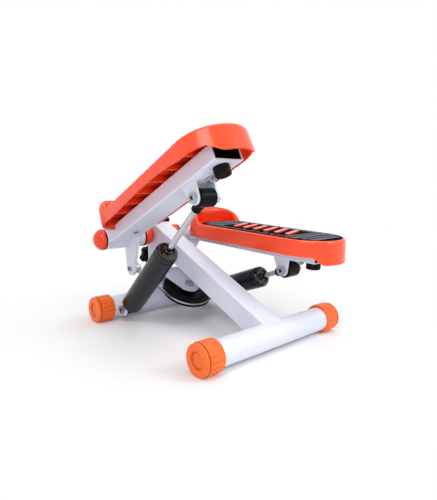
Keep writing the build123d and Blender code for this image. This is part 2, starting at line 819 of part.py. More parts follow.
def cylinder(word, side, tilt):
    """Cylinder tube with its lower eye, and the ringed gland that closes it."""
    profile = cylinder_profile(side, tilt)
    axis = Axis(profile.origin, profile.x_dir)
    bore = cylinder_radius - cylinder_wall
    gland_start = cylinder_end - gland_length
    floor = cylinder_start + 8.0
    eye_neck_radius = 8.5
    with BuildPart() as tube:
        with BuildSketch(profile):
            with BuildLine():
                Polyline(
                    (0, 0),
                    (0, eye_neck_radius),
                    (cylinder_start, eye_neck_radius),
                    (cylinder_start, cylinder_radius),
                    (gland_start, cylinder_radius),
                    (gland_start, bore),
                    (floor, bore),
                    (floor, 0),
                    close=True,
                )
            make_face()
        revolve(axis=axis)
        rims = tube.edges().filter_by(GeomType.CIRCLE)
        outer_rims = rims.filter_by(lambda rim: abs(rim.radius - cylinder_radius) < 0.01)
        fillet(outer_rims.sort_by(axis)[0], radius=4.0)
        with BuildSketch(side_view(side * pedal_x, lower_y, lower_z)):
            Circle(lower_eye_radius)
        extrude(amount=lower_eye_width / 2, both=True)
        with BuildSketch(side_view(side * pedal_x, lower_y, lower_z)):
            Circle(pivot_bolt_radius + running_fit)
        extrude(amount=lower_eye_width, both=True, mode=Mode.SUBTRACT)
    write(tube, f"{word}_cylinder_tube")

    groove_depth = 1.8
    plug_length = 10.0
    with BuildPart() as gland:
        with BuildSketch(profile):
            with BuildLine():
                Polyline(
                    (gland_start - plug_length, rod_radius + running_fit),
                    (gland_start - plug_length, bore - press_fit),
                    (gland_start, bore - press_fit),
                    (gland_start, cylinder_radius - groove_depth),
                    (gland_start + 2.0, cylinder_radius - groove_depth),
                    (gland_start + 2.0, cylinder_radius),
                    (gland_start + 5.0, cylinder_radius),
                    (gland_start + 5.0, cylinder_radius - groove_depth),
                    (gland_start + 7.0, cylinder_radius - groove_depth),
                    (gland_start + 7.0, cylinder_radius),
                    (gland_start + 10.0, cylinder_radius - 0.4),
                    (gland_start + 10.0, cylinder_radius - groove_depth - 0.6),
                    (gland_start + 11.5, cylinder_radius - groove_depth - 0.6),
                    (gland_start + 11.5, cylinder_radius - 1.0),
                    (cylinder_end - 1.2, cylinder_radius - 3.0),
                    (cylinder_end, cylinder_radius - 5.5),
                    (cylinder_end, 12.0),
                    (cylinder_end - 3.0, 11.0),
                    (cylinder_end - 3.0, 8.0),
                    (cylinder_end - 0.5, 7.2),
                    (cylinder_end - 0.5, rod_radius + running_fit),
                    close=True,
                )
            make_face()
        revolve(axis=axis)
    write(gland, f"{word}_cylinder_gland")


def piston_rod(word, side, tilt):
    """Chrome rod, the piston on its inner end and the black eye on its outer end."""
    length = cylinder_axis(tilt)[0]
    profile = cylinder_profile(side, tilt)
    axis = Axis(profile.origin, profile.x_dir)
    piston_middle = length - rod_length
    rod_socket = length - 17.0
    neck_start = length - 29.0
    neck_radius = 8.0
    with BuildPart() as rod:
        with BuildSketch(cylinder_across(side, tilt, piston_middle - piston_thickness / 2)):
            Circle(rod_radius)
        extrude(amount=rod_socket - piston_middle + piston_thickness / 2)
    write(rod, f"{word}_piston_rod")

    bore = cylinder_radius - cylinder_wall
    with BuildPart() as piston:
        with BuildSketch(cylinder_across(side, tilt, piston_middle)):
            Circle(bore - 2 * running_fit)
            Circle(rod_radius + press_fit / 2, mode=Mode.SUBTRACT)
        extrude(amount=piston_thickness / 2, both=True)
    write(piston, f"{word}_piston")

    upper_y, upper_z = pedal_point(tilt, upper_pivot_s, upper_pivot_n)
    with BuildPart() as rod_end:
        with BuildSketch(side_view(side * pedal_x, upper_y, upper_z)):
            Circle(rod_end_radius)
        extrude(amount=rod_end_width / 2, both=True)
        fillet(rod_end.edges().filter_by(GeomType.CIRCLE), radius=1.5)
        with BuildSketch(profile):
            with BuildLine():
                Polyline(
                    (neck_start, 0),
                    (neck_start, neck_radius - 1.0),
                    (neck_start + 1.0, neck_radius),
                    (neck_start + 7.0, neck_radius),
                    (length - 6.0, neck_radius + 2.0),
                    (length - 6.0, 0),
                    close=True,
                )
            make_face()
        revolve(axis=axis)
        with BuildSketch(cylinder_across(side, tilt, neck_start)):
            Circle(rod_radius + press_fit / 2)
        extrude(amount=rod_socket - neck_start, mode=Mode.SUBTRACT)
        with BuildSketch(side_view(side * pedal_x, upper_y, upper_z)):
            Circle(pivot_bolt_radius + rod_end_play)
        extrude(amount=rod_end_width, both=True, mode=Mode.SUBTRACT)
    write(rod_end, f"{word}_rod_end")


# ---------------------------------------------------------------- cable drive


def pulley():
    """Grooved wheel with a dished web and a hub, and the steel bush it turns on."""
    half = pulley_thickness / 2
    hub_half = fork_half_gap - side_play
    hub_radius = 14.0
    bush_radius = 8.0
    dish_depth = 2.5
    groove = cable_radius + side_play
    plane = slope_side()
    axis = Axis(plane.origin, plane.y_dir)
    with BuildPart() as wheel:
        with BuildSketch(plane):
            with BuildLine():
                Polyline(
                    (bush_radius, -hub_half),
                    (hub_radius, -hub_half),
                    (hub_radius, -half + dish_depth),
                    (20.0, -half + dish_depth),
                    (24.0, -half),
                    (36.0, -half),
                    (37.0, -half + 1.0),
                    (39.0, -half + 1.0),
                    (40.0, -half),
                    (pulley_radius, -half),
                    (pulley_radius, -groove - 0.6),
                    (groove_radius, -groove),
                )
                ThreePointArc((groove_radius, -groove), (groove_radius - groove, 0), (groove_radius, groove))
                Polyline(
                    (groove_radius, groove),
                    (pulley_radius, groove + 0.6),
                    (pulley_radius, half),
                    (40.0, half),
                    (39.0, half - 1.0),
                    (37.0, half - 1.0),
                    (36.0, half),
                    (24.0, half),
                    (20.0, half - dish_depth),
                    (hub_radius, half - dish_depth),
                    (hub_radius, hub_half),
                    (bush_radius, hub_half),
                    (bush_radius, -hub_half),
                )
            make_face()
        revolve(axis=axis)
    write(wheel, "pulley")

    with BuildPart() as bush:
        with BuildSketch(slope_top(0)):
            Circle(bush_radius - press_fit / 2)
            Circle(pivot_bolt_radius + running_fit, mode=Mode.SUBTRACT)
        extrude(amount=hub_half, both=True)
    write(bush, "pulley_bush")


def pulley_fork():
    """Folded U of plate round the pulley: two tongues and a web for the adjusting rod."""
    tongue_radius = 21.0
    web_half = 30.0
    with BuildPart() as fork:
        for w in (-fork_half_gap - fork_plate, fork_half_gap):
            with BuildSketch(slope_top(w)):
                Circle(tongue_radius)
                with Locations((0, fork_web_u + fork_plate)):
                    Rectangle(2 * web_half, 26.0, align=(Align.CENTER, Align.MAX))
                make_hull()
                Circle(pivot_bolt_radius + bolt_fit, mode=Mode.SUBTRACT)
            extrude(amount=fork_plate)
        with BuildSketch(slope_across(fork_web_u)):
            Rectangle(2 * web_half, 2 * (fork_half_gap + fork_plate))
            Circle(adjust_rod_radius + bolt_fit, mode=Mode.SUBTRACT)
        extrude(amount=fork_plate)
    write(fork, "pulley_fork")

    with BuildPart() as bolt:
        top = fork_half_gap + fork_plate
        shank = 2 * top + pivot_nut_height + thread_end
        add(hexagon_bolt(slope_top(top), pivot_bolt_radius, pivot_bolt_flats, pivot_bolt_head, shank))
        under = slope_top(-top)
        down = Plane(origin=under.origin, x_dir=(1, 0, 0), z_dir=-under.z_dir)
        add(hexagon_nut(down, pivot_bolt_radius + press_fit, pivot_bolt_flats, pivot_nut_height))
    write(bolt, "pulley_bolt")


def adjuster():
    """Threaded rod from the fork through the post, the wedge washer and the lobed hand knob."""
    post_front_u = (front_y + post_depth / 2 - pulley_y) / slope_cos
    washer_radius = 12.0
    washer_end = post_front_u + washer_radius * tan(radians(main_tube_slope)) + 1.0
    hub_start = washer_end + side_play
    hub_length = 9.6
    hub_radius = 11.0
    rod_end = hub_start + hub_length + knob_thickness + 2.0
    head_height = 5.0
    head_flats = 16.0
    lobe_count = 6
    lobe_radius = 7.0
    with BuildPart() as rod:
        with BuildSketch(slope_across(fork_web_u)):
            RegularPolygon(head_flats / 2, 6, major_radius=False)
        extrude(amount=-head_height)
        with BuildSketch(slope_across(fork_web_u)):
            Circle(adjust_rod_radius)
        extrude(amount=rod_end - fork_web_u)
    write(rod, "adjust_rod")

    with BuildPart() as washer:
        with BuildSketch(slope_across(post_front_u - washer_radius)):
            Circle(washer_radius)
            Circle(adjust_rod_radius + side_play, mode=Mode.SUBTRACT)
        extrude(amount=washer_end - post_front_u + washer_radius)
        with BuildSketch(side_view(0, front_y + post_depth / 2, pulley_z)):
            Rectangle(base_length, base_length, align=(Align.MAX, Align.CENTER))
        extrude(amount=post_width, both=True, mode=Mode.SUBTRACT)
    write(washer, "knob_washer")

    with BuildPart() as knob:
        with BuildSketch(slope_across(hub_start + hub_length)):
            Circle(knob_radius - lobe_radius + 2)
            with PolarLocations(knob_radius - lobe_radius, lobe_count, start_angle=30):
                Circle(lobe_radius)
        extrude(amount=knob_thickness)
        knob_front = slope_across(hub_start + hub_length)
        faces = knob.faces().sort_by(Axis(knob_front.origin, knob_front.z_dir))
        chamfer(faces[-1].edges() + faces[0].edges(), length=1.5)
        with BuildSketch(slope_across(hub_start)):
            Circle(hub_radius)
        extrude(amount=hub_length)
        with BuildSketch(slope_across(hub_start)):
            Circle(adjust_rod_radius + press_fit)
        extrude(amount=hub_length + knob_thickness, mode=Mode.SUBTRACT)
    write(knob, "adjust_knob")


def cable_run(side, tilt):
    """Points of one straight cable run: fitting end, bend just off the pulley, and tangent point."""
    bolt_y, bolt_z = pedal_point(tilt, cable_bolt_s, cable_bolt_n)
    bolt_u = (bolt_y - pulley_y) * slope_cos + (bolt_z - pulley_z) * slope_sin
    reach = hypot(cable_x, bolt_u)
    touch = atan2(bolt_u, cable_x) - acos(groove_radius / reach)
    plane = slope_top(0)
    tangent = plane.from_local_coords(
        Vector(side * groove_radius * cos(touch), groove_radius * sin(touch), 0)
    )
    bend_share = 0.25
    bend_x = side * (groove_radius * cos(touch) * (1 - bend_share) + cable_x * bend_share)
    bend_u = groove_radius * sin(touch) * (1 - bend_share) + bolt_u * bend_share
    bend = plane.from_local_coords(Vector(bend_x, bend_u, 0))
    bolt = Vector(side * cable_x, bolt_y, bolt_z)
    return bolt, bend, tangent, degrees(touch)


def cable_direction(side, tilt):
    """Unit vector of a cable run from its fitting towards the pulley."""
    bolt, bend, _, _ = cable_run(side, tilt)
    return (bend - bolt).normalized()


def pull_cable():
    """Steel cable from one lever, round the pulley and back to the other lever."""
    bend_radius = 120.0
    left_bolt, left_bend, left_touch, left_angle = cable_run(-1, left_tilt)
    right_bolt, right_bend, right_touch, right_angle = cable_run(1, right_tilt)
    left_end = left_bolt + cable_direction(-1, left_tilt) * cable_grip_start
    right_end = right_bolt + cable_direction(1, right_tilt) * cable_grip_start
    plane = slope_top(0)
    bottom = plane.from_local_coords(Vector(0, -groove_radius, 0))
    with BuildPart() as cable:
        with BuildLine() as route:
            FilletPolyline(left_end, left_bend, left_touch, radius=bend_radius)
            ThreePointArc(left_touch, bottom, right_touch)
            FilletPolyline(right_touch, right_bend, right_end, radius=bend_radius)
        with BuildSketch(Plane(origin=left_end, z_dir=cable_direction(-1, left_tilt))):
            Circle(cable_radius)
        sweep()
    write(cable, "pull_cable")
    length = sum(edge.length for edge in route.edges())
    section = pi * cable_radius**2
    print("cable length", round(length, 1), "volume ratio", round(cable.part.volume / (section * length), 4))


def cable_end(word, side, tilt):
    """Fitting that joins the cable to a lever: an eye on the bolt and a barrel over the cable."""
    barrel_radius = 4.5
    eye_radius = 10.5
    bolt, _, _, _ = cable_run(side, tilt)
    direction = cable_direction(side, tilt)
    with BuildPart() as fitting:
        with BuildSketch(Plane(origin=bolt, x_dir=(0, 1, 0), z_dir=(1, 0, 0))):
            Circle(eye_radius)
        extrude(amount=cable_eye_half_width, both=True)
        with BuildSketch(Plane(origin=bolt, z_dir=direction)):
            Circle(barrel_radius)
        extrude(amount=cable_grip_end)
        with BuildSketch(Plane(origin=bolt + direction * cable_grip_start, z_dir=direction)):
            Circle(cable_radius + press_fit)
        extrude(amount=cable_grip_end, mode=Mode.SUBTRACT)
        with BuildSketch(Plane(origin=bolt, x_dir=(0, 1, 0), z_dir=(1, 0, 0))):
            Circle(cable_bolt_radius + cable_eye_play)
        extrude(amount=2 * cable_eye_half_width, both=True, mode=Mode.SUBTRACT)
    write(fitting, f"{word}_cable_end")


# ---------------------------------------------------------------- build everything

foot_tube("rear_foot_tube", rear_y, rear_half_width)
foot_tube("front_foot_tube", front_y, front_half_width)
for word, side, _ in SIDES:
    foot_cap(f"rear_{word}_foot_cap", side, rear_y, rear_half_width)
    foot_cap(f"front_{word}_foot_cap", side, front_y, front_half_width)
main_tube()
front_post()
post_cap()
pivot_axle()
lower_cylinder_bolts()
pulley()
pulley_fork()
adjuster()
pull_cable()
for word, side, tilt in SIDES:
    axle_domes(word, side)
    cylinder_clevis(word, side)
    pivot_sleeve(word, side)
    pivot_bushes(word, side)
    pedal_arm(word, side, tilt)
    lever(word, side, tilt)
    pedal_shell(word, side, tilt)
    pedal_mat(word, side, tilt)
    upper_bracket(word, side, tilt)
    bumper(word, side, tilt)
    pedal_bolts(word, side, tilt)
    pedal_screws(word, side, tilt)
    cylinder(word, side, tilt)
    piston_rod(word, side, tilt)
    cable_end(word, side, tilt)
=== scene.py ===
"""Looks of the mini stepper.

Every CAD node gets a procedural material, with painted shade in its grooves. Added to them are
weld beads, toe guards, the pedal shells' arched skirts, arm liners of painted shade, mat ribs with
a painted sheen, bolt recesses dark with painted shade, bracket nuts and the stranded cable.
"""
import json
import math

import bmesh
import bpy
from mathutils import Matrix, Vector


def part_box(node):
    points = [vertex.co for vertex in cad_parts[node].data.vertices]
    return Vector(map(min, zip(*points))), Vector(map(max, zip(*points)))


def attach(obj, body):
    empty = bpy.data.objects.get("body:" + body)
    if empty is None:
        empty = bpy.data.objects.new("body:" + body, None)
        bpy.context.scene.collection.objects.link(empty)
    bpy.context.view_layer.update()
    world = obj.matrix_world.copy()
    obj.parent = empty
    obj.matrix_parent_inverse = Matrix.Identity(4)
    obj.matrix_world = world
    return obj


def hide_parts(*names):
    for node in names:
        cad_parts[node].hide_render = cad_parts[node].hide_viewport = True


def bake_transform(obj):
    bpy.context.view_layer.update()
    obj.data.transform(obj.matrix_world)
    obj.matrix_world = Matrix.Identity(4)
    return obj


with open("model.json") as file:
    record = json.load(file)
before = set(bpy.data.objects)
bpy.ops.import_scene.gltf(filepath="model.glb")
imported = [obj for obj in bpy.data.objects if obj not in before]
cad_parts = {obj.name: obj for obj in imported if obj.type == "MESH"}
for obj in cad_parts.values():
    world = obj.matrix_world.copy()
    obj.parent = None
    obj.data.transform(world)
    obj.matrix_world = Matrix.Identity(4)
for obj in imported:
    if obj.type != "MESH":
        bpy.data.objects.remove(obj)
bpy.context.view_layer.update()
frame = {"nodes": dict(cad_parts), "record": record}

# ---------------------------------------------------------------- places, in metres


def middle_of(node):
    """Centre of a CAD node's box at rest."""
    low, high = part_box(node)
    return (low + high) / 2


SIDE = {"left": -1, "right": 1}
TILT = {"left": math.radians(25.4), "right": math.radians(-2.1)}
REAR_Y = middle_of("rear_foot_tube").y
FRONT_Y = middle_of("front_foot_tube").y
FOOT_Z = middle_of("rear_foot_tube").z
PIVOT_Z = middle_of("pivot_axle").z
PEDAL_X = middle_of("right_pedal_arm").x

# Frame tubes.
FOOT_TUBE_RADIUS = 0.021
MAIN_TUBE_SIZE = 0.040
MAIN_TUBE_RISE = 0.1389
POST_WIDTH = 0.040
POST_DEPTH = 0.028
TUBE_CORNER = 0.003
MAIN_TUBE_SLOPE = math.atan2(MAIN_TUBE_RISE, FRONT_Y - REAR_Y - POST_DEPTH / 2)
TUBE_ALONG = Vector((0, math.cos(MAIN_TUBE_SLOPE), math.sin(MAIN_TUBE_SLOPE)))
TUBE_ABOVE = Vector((0, -math.sin(MAIN_TUBE_SLOPE), math.cos(MAIN_TUBE_SLOPE)))

# The arm, its sleeve and its lever: s runs towards the heel and n upwards, both from the pivot.
SLEEVE_RADIUS = 0.0195
ARM_WIDTH = 0.055
ARM_BOTTOM = -0.012
ARM_HEIGHT = 0.025
ARM_WALL = 0.002
ARM_END = 0.3515
ARM_SCREW_S = 0.070
ARM_SCREW_HEAD = 0.0025
BRACKET_SCREW_S = 0.304
BRACKET_PLATE = 0.003
LEVER_FACES_X = (0.0738, 0.0802)
CABLE_BOLT_S = -0.012
CABLE_BOLT_N = -0.062
CABLE_BOLT_FACE_X = 0.084
CABLE_X = 0.069

# The pedal's shell. OUTER_EDGE is the outer skirt's lower edge as (s, n) points.
DECK = 0.030
SHELL_HALF_WIDTH = 0.0605
SHELL_WALL = 0.0014
SHELL_TOE_LINE = 0.0716
SHELL_TOE_DEPTH = 0.029
SHELL_FLARE = 0.045
SHELL_SHARP = math.radians(28)
OUTER_EDGE = ((0.070, 0.0068), (0.130, 0.0080), (0.190, 0.0100), (0.250, 0.0100),
              (0.285, 0.0080), (0.318, 0.0025))

# The cable's pulley.
PULLEY_CENTRE = Vector((0, FRONT_Y - 0.097, FOOT_Z + 0.0324))
GROOVE_RADIUS = 0.046


def pedal_point(word, x, s, n):
    """World place of a point x right of a pedal's middle, s towards the heel, n above the pivot."""
    tilt = TILT[word]
    y = FRONT_Y - s * math.cos(tilt) + n * math.sin(tilt)
    z = PIVOT_Z + s * math.sin(tilt) + n * math.cos(tilt)
    return Vector((SIDE[word] * PEDAL_X + x, y, z))


def pedal_direction(word, s, n):
    """World direction of a step s towards the heel and n up in a pedal's own frame."""
    return pedal_point(word, 0, s, n) - pedal_point(word, 0, 0, 0)


# ---------------------------------------------------------------- materials


def srgb(r, g, b):
    """Linear colour from 0-255 display values."""
    def one(v):
        v /= 255
        return v / 12.92 if v <= 0.04045 else ((v + 0.055) / 1.055) ** 2.4
    return (one(r), one(g), one(b), 1)


def scaled(colour, factor):
    """The colour made lighter or darker."""
    return [min(1, c * factor) for c in colour[:3]] + [1]


def noise(tree, coordinates, scale, detail):
    """A noise texture in object space."""
    node = tree.nodes.new("ShaderNodeTexNoise")
    node.inputs["Scale"].default_value = scale
    node.inputs["Detail"].default_value = detail
    tree.links.new(coordinates.outputs["Object"], node.inputs["Vector"])
    return node


def cavity_shade(tree, colour_output, strength, reach):
    """Painted shade: the colour made darker in grooves and corners narrower than reach."""
    in_groove, in_open = 0.4, 1.0
    groove_shade = tree.nodes.new("ShaderNodeAmbientOcclusion")
    groove_shade.samples = 8
    groove_shade.only_local = True
    groove_shade.inputs["Distance"].default_value = reach
    factor = tree.nodes.new("ShaderNodeMapRange")
    factor.inputs["From Min"].default_value = in_groove
    factor.inputs["From Max"].default_value = in_open
    factor.inputs["To Min"].default_value = 1 - strength
    factor.inputs["To Max"].default_value = 1.0
    tree.links.new(groove_shade.outputs["AO"], factor.inputs["Value"])
    shade = tree.nodes.new("ShaderNodeMix")
    shade.data_type = "RGBA"
    shade.blend_type = "MULTIPLY"
    shade.inputs["Factor"].default_value = 1.0
    tree.links.new(colour_output, shade.inputs["A"])
    tree.links.new(factor.outputs["Result"], shade.inputs["B"])
    return shade.outputs["Result"]


def material(name, colour, roughness, metallic=0.0, specular=0.5, mottle=0.04, mottle_scale=18.0,
             grain=0.1, grain_scale=900.0, groove_shade=0.0, groove_shade_reach=0.003):
    """A Principled material whose colour and gloss vary a little, with grain and painted shade in
    its grooves.
    """
    gloss_spread, grain_depth = 0.15, 0.0004
    m = bpy.data.materials.new(name)
    m.use_nodes = True
    tree = m.node_tree
    shader = tree.nodes["Principled BSDF"]
    shader.inputs["Metallic"].default_value = metallic
    shader.inputs["Specular IOR Level"].default_value = specular
    coordinates = tree.nodes.new("ShaderNodeTexCoord")
    blotch = noise(tree, coordinates, mottle_scale, 3)
    fine = noise(tree, coordinates, grain_scale, 2)
    tint = tree.nodes.new("ShaderNodeMix")
    tint.data_type = "RGBA"
    tint.inputs["A"].default_value = scaled(colour, 1 - mottle)
    tint.inputs["B"].default_value = scaled(colour, 1 + mottle)
    tree.links.new(blotch.outputs["Fac"], tint.inputs["Factor"])
    shown = tint.outputs["Result"]
    # Painted shade: the colour is darkened in grooves and corners, where less light falls.
    if groove_shade:
        shown = cavity_shade(tree, shown, groove_shade, groove_shade_reach)
    tree.links.new(shown, shader.inputs["Base Color"])
    gloss = tree.nodes.new("ShaderNodeMapRange")
    gloss.inputs["To Min"].default_value = roughness * (1 - gloss_spread)
    gloss.inputs["To Max"].default_value = roughness * (1 + gloss_spread)
    tree.links.new(blotch.outputs["Fac"], gloss.inputs["Value"])
    tree.links.new(gloss.outputs["Result"], shader.inputs["Roughness"])
    bump = tree.nodes.new("ShaderNodeBump")
    bump.inputs["Strength"].default_value = grain
    bump.inputs["Distance"].default_value = grain_depth
    tree.links.new(fine.outputs["Fac"], bump.inputs["Height"])
    tree.links.new(bump.outputs["Normal"], shader.inputs["Normal"])
    return m


PAINT = material("powder_coat", srgb(224, 230, 241), 0.40, specular=0.3, mottle=0.012,
                 grain=0.12, grain_scale=700, groove_shade=0.25, groove_shade_reach=0.004)
CAP = material("cap_plastic", srgb(255, 110, 30), 0.30, specular=0.35, mottle=0.05,
               grain=0.08, grain_scale=1400, groove_shade=0.85, groove_shade_reach=0.005)
SHELL = material("pedal_plastic", srgb(255, 74, 28), 0.22, specular=0.52, mottle=0.03,
                 grain=0.06, grain_scale=1500, groove_shade=0.25, groove_shade_reach=0.004)
DOME = material("dome_plastic", srgb(240, 62, 26), 0.22, specular=0.45, mottle=0.03,
                grain=0.05, grain_scale=1500)
BLACK = material("black_plastic", srgb(11, 11, 13), 0.34, specular=0.10, mottle=0.10,
                 grain=0.15, grain_scale=900, groove_shade=0.4)
MAT = material("mat_rubber", srgb(24, 25, 29), 0.7, specular=0.0, mottle=0.12,
               grain=0.3, grain_scale=1300)
# Painted sheen: the ridges' lighter grey stands for light glancing off the rubber.
RIDGE_SHEEN = material("mat_ridges_sheen", srgb(126, 128, 134), 0.6, specular=0.0, mottle=0.15,
                 mottle_scale=60, grain=0.25, grain_scale=1300)
BUFFER = material("bumper_rubber", srgb(12, 12, 13), 0.5, specular=0.12, mottle=0.10,
                  grain=0.2, grain_scale=1000)
SATIN = material("cylinder_paint", srgb(25, 25, 31), 0.26, specular=0.32, mottle=0.06,
                 grain=0.05, grain_scale=1200, groove_shade=0.4)
GLAND = material("gland_black", srgb(9, 9, 11), 0.14, specular=0.7, mottle=0.08,
                 grain=0.04, grain_scale=1400, groove_shade=0.5, groove_shade_reach=0.002)
CHROME = material("rod_chrome", srgb(196, 198, 204), 0.12, metallic=1, mottle=0.02,
                  grain=0.02, grain_scale=1800)
ZINC = material("zinc_steel", srgb(178, 181, 188), 0.36, metallic=0.75, mottle=0.08,
                mottle_scale=90, grain=0.10, grain_scale=1500, groove_shade=0.6, groove_shade_reach=0.002)
WIRE = material("cable_steel", srgb(176, 178, 184), 0.34, metallic=1, mottle=0.12,
                mottle_scale=300, grain=0.2, grain_scale=1500, groove_shade=0.5, groove_shade_reach=0.001)
# Painted shade: near-black for the shade deep inside each arm's tube.
INSIDE_SHADE = material("arm_inside_shade", srgb(22, 22, 26), 0.7, specular=0.05, mottle=0.25,
                mottle_scale=60, grain=0.2, grain_scale=900)
# Painted shade: the near-black colour of the cross recesses in the bolt heads.
RECESS_SHADE = material("screw_recess", srgb(26, 26, 28), 0.5, metallic=1, mottle=0.2,
                  mottle_scale=200, grain=0.2, grain_scale=2000)

SLOT_MATERIAL = {
    "frame_paint": PAINT,
    "orange_plastic": CAP,
    "pedal_plastic": SHELL,
    "black_plastic": BLACK,
    "mat_rubber": MAT,
    "bumper_rubber": BUFFER,
    "cylinder_paint": SATIN,
    "rod_chrome": CHROME,
    "zinc_steel": ZINC,
    "cable_steel": WIRE,
}


def dress_nodes():
    """Give every CAD node the material of its slot. Domes are redder and glands glossier."""
    for entry in frame["record"]["subparts"]:
        chosen = SLOT_MATERIAL[entry["material_slot"]]
        if entry["node"].endswith("_dome"):
            chosen = DOME
        elif entry["node"].endswith("_gland"):
            chosen = GLAND
        for place in frame["nodes"][entry["node"]].material_slots:
            place.material = chosen


# ---------------------------------------------------------------- mesh helpers


def piece(name, mesh, look, body):
    """Turn a bmesh into a piece that rides on a body, or on none if body is None."""
    data = bpy.data.meshes.new(name)
    bmesh.ops.recalc_face_normals(mesh, faces=mesh.faces)
    mesh.to_mesh(data)
    mesh.free()
    data.materials.append(look)
    thing = bpy.data.objects.new(name, data)
    bpy.context.scene.collection.objects.link(thing)
    if body:
        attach(thing, body)
    return thing


def smooth(thing):
    """Smooth shading all over."""
    for face in thing.data.polygons:
        face.use_smooth = True


def crease(thing, angle):
    """Smooth shading with sharp edges where faces meet at more than angle."""
    mesh = bmesh.new()
    mesh.from_mesh(thing.data)
    for face in mesh.faces:
        face.smooth = True
    for edge in mesh.edges:
        edge.smooth = len(edge.link_faces) == 2 and edge.calc_face_angle(math.pi) < angle
    mesh.to_mesh(thing.data)
    mesh.free()


def rings_along(points, radius_at, sides, closed=False):
    """Rings of places round a line, radius_at(distance travelled, angle) away from it."""
    count = len(points)
    normal = None
    travelled = 0.0
    rings = []
    for i, point in enumerate(points):
        before = points[i - 1] if i or closed else point
        after = points[(i + 1) % count] if i < count - 1 or closed else point
        along = (after - before).normalized()
        if normal is None:
            normal = along.orthogonal().normalized()
        normal = (normal - along * normal.dot(along)).normalized()
        other = along.cross(normal)
        if i:
            travelled += (point - points[i - 1]).length
        ring = []
        for k in range(sides):
            angle = 2 * math.pi * k / sides
            offset = normal * math.cos(angle) + other * math.sin(angle)
            ring.append(point + offset * radius_at(travelled, angle))
        rings.append(ring)
    return rings


def skin(rings, closed=False):
    """Mesh over rings of places, with a flat end at each open ring."""
    mesh = bmesh.new()
    rows = [[mesh.verts.new(place) for place in ring] for ring in rings]
    sides = len(rows[0])
    pairs = list(zip(rows, rows[1:])) + ([(rows[-1], rows[0])] if closed else [])
    for a, b in pairs:
        for k in range(sides):
            mesh.faces.new((a[k], a[(k + 1) % sides], b[(k + 1) % sides], b[k]))
    if not closed:
        mesh.faces.new(rows[0])
        mesh.faces.new(rows[-1])
    return mesh


def spaced(points, step, closed=False):
    """Points along a polyline about step apart, with its corners kept."""
    ends = points + [points[0]] if closed else points
    out = []
    for a, b in zip(ends, ends[1:]):
        parts = max(1, round((b - a).length / step))
        out += [a.lerp(b, i / parts) for i in range(parts)]
    return out if closed else out + [ends[-1]]


# ---------------------------------------------------------------- weld beads


def bead(name, body, points, radius=0.0013, closed=False):
    """Rippled weld bead along points, painted with the frame."""
    ripple, ripple_depth, step, sides = 0.0022, 0.12, 0.0007, 8

    def radius_at(distance, _angle):
        swell = abs(math.sin(math.pi * distance / ripple))
        return radius * (1 - ripple_depth + ripple_depth * swell)

    mesh = skin(rings_along(spaced(points, step, closed), radius_at, sides, closed), closed)
    smooth(piece(name, mesh, PAINT, body))


def rounded_rectangle(half_a, half_b, corner):
    """Corner arcs of a rounded rectangle as (a, b) pairs, in order."""
    steps = 5
    out = []
    for turn, (sa, sb) in enumerate(((1, 1), (-1, 1), (-1, -1), (1, -1))):
        for i in range(steps + 1):
            angle = math.pi / 2 * (turn + i / steps)
            out.append((sa * (half_a - corner) + corner * math.cos(angle),
                        sb * (half_b - corner) + corner * math.sin(angle)))
    return out


def dense(pairs):
    """The same closed outline with its straight sides divided, to follow a round tube."""
    step = 0.002
    points = spaced([Vector((a, b, 0)) for a, b in pairs], step, closed=True)
    return [(p.x, p.y) for p in points]


def frame_welds():
    """Beads where the main tube and the post meet the foot tubes and each other."""
    half_tube = MAIN_TUBE_SIZE / 2
    tube_outline = dense(rounded_rectangle(half_tube, half_tube, TUBE_CORNER))
    post_outline = dense(rounded_rectangle(POST_WIDTH / 2, POST_DEPTH / 2, TUBE_CORNER))

    rear = Vector((0, REAR_Y, FOOT_Z))
    points = []
    for a, b in tube_outline:
        reach = math.sqrt(FOOT_TUBE_RADIUS ** 2 - b ** 2)
        points.append(rear + Vector((a, 0, 0)) + TUBE_ABOVE * b + TUBE_ALONG * reach)
    bead("rear_tube_weld", "frame", points, closed=True)

    points = []
    for a, b in post_outline:
        rise = math.sqrt(FOOT_TUBE_RADIUS ** 2 - b ** 2)
        points.append(Vector((a, FRONT_Y + b, FOOT_Z + rise)))
    bead("post_weld", "frame", points, closed=True)

    # The main tube is as wide as the post, so its bead is narrowed to stay on the post's face.
    narrowed = 0.93
    face_y = FRONT_Y - POST_DEPTH / 2
    centre_z = FOOT_Z + (face_y - REAR_Y) * math.tan(MAIN_TUBE_SLOPE)
    points = []
    for a, b in tube_outline:
        points.append(Vector((a * narrowed, face_y, centre_z + b / math.cos(MAIN_TUBE_SLOPE))))
    bead("main_tube_weld", "frame", points, closed=True)


def pedal_welds(word):
    """Beads between the arm, the sleeve and the cable lever of one pedal."""
    body = f"{word}_pedal"
    half = ARM_WIDTH / 2
    bead_height, steps = 0.022, 12
    top = ARM_BOTTOM + bead_height
    sweep_down = []
    for i in range(steps + 1):
        n = top + (ARM_BOTTOM - top) * i / steps
        sweep_down.append((math.sqrt(SLEEVE_RADIUS ** 2 - n ** 2), n))
    points = [pedal_point(word, -half, s, n) for s, n in sweep_down]
    points += [pedal_point(word, half, s, n) for s, n in reversed(sweep_down)]
    bead(f"{word}_arm_weld", body, points)

    start, sweep, steps, thin = -128, 78, 24, 0.0011
    for number, x in enumerate(LEVER_FACES_X):
        points = []
        for i in range(steps + 1):
            angle = math.radians(start + sweep * i / steps)
            s, n = SLEEVE_RADIUS * math.cos(angle), SLEEVE_RADIUS * math.sin(angle)
            points.append(pedal_point(word, SIDE[word] * (x - PEDAL_X), s, n))
        bead(f"{word}_lever_weld_{number + 1}", body, points, radius=thin)


# ---------------------------------------------------------------- toe guards


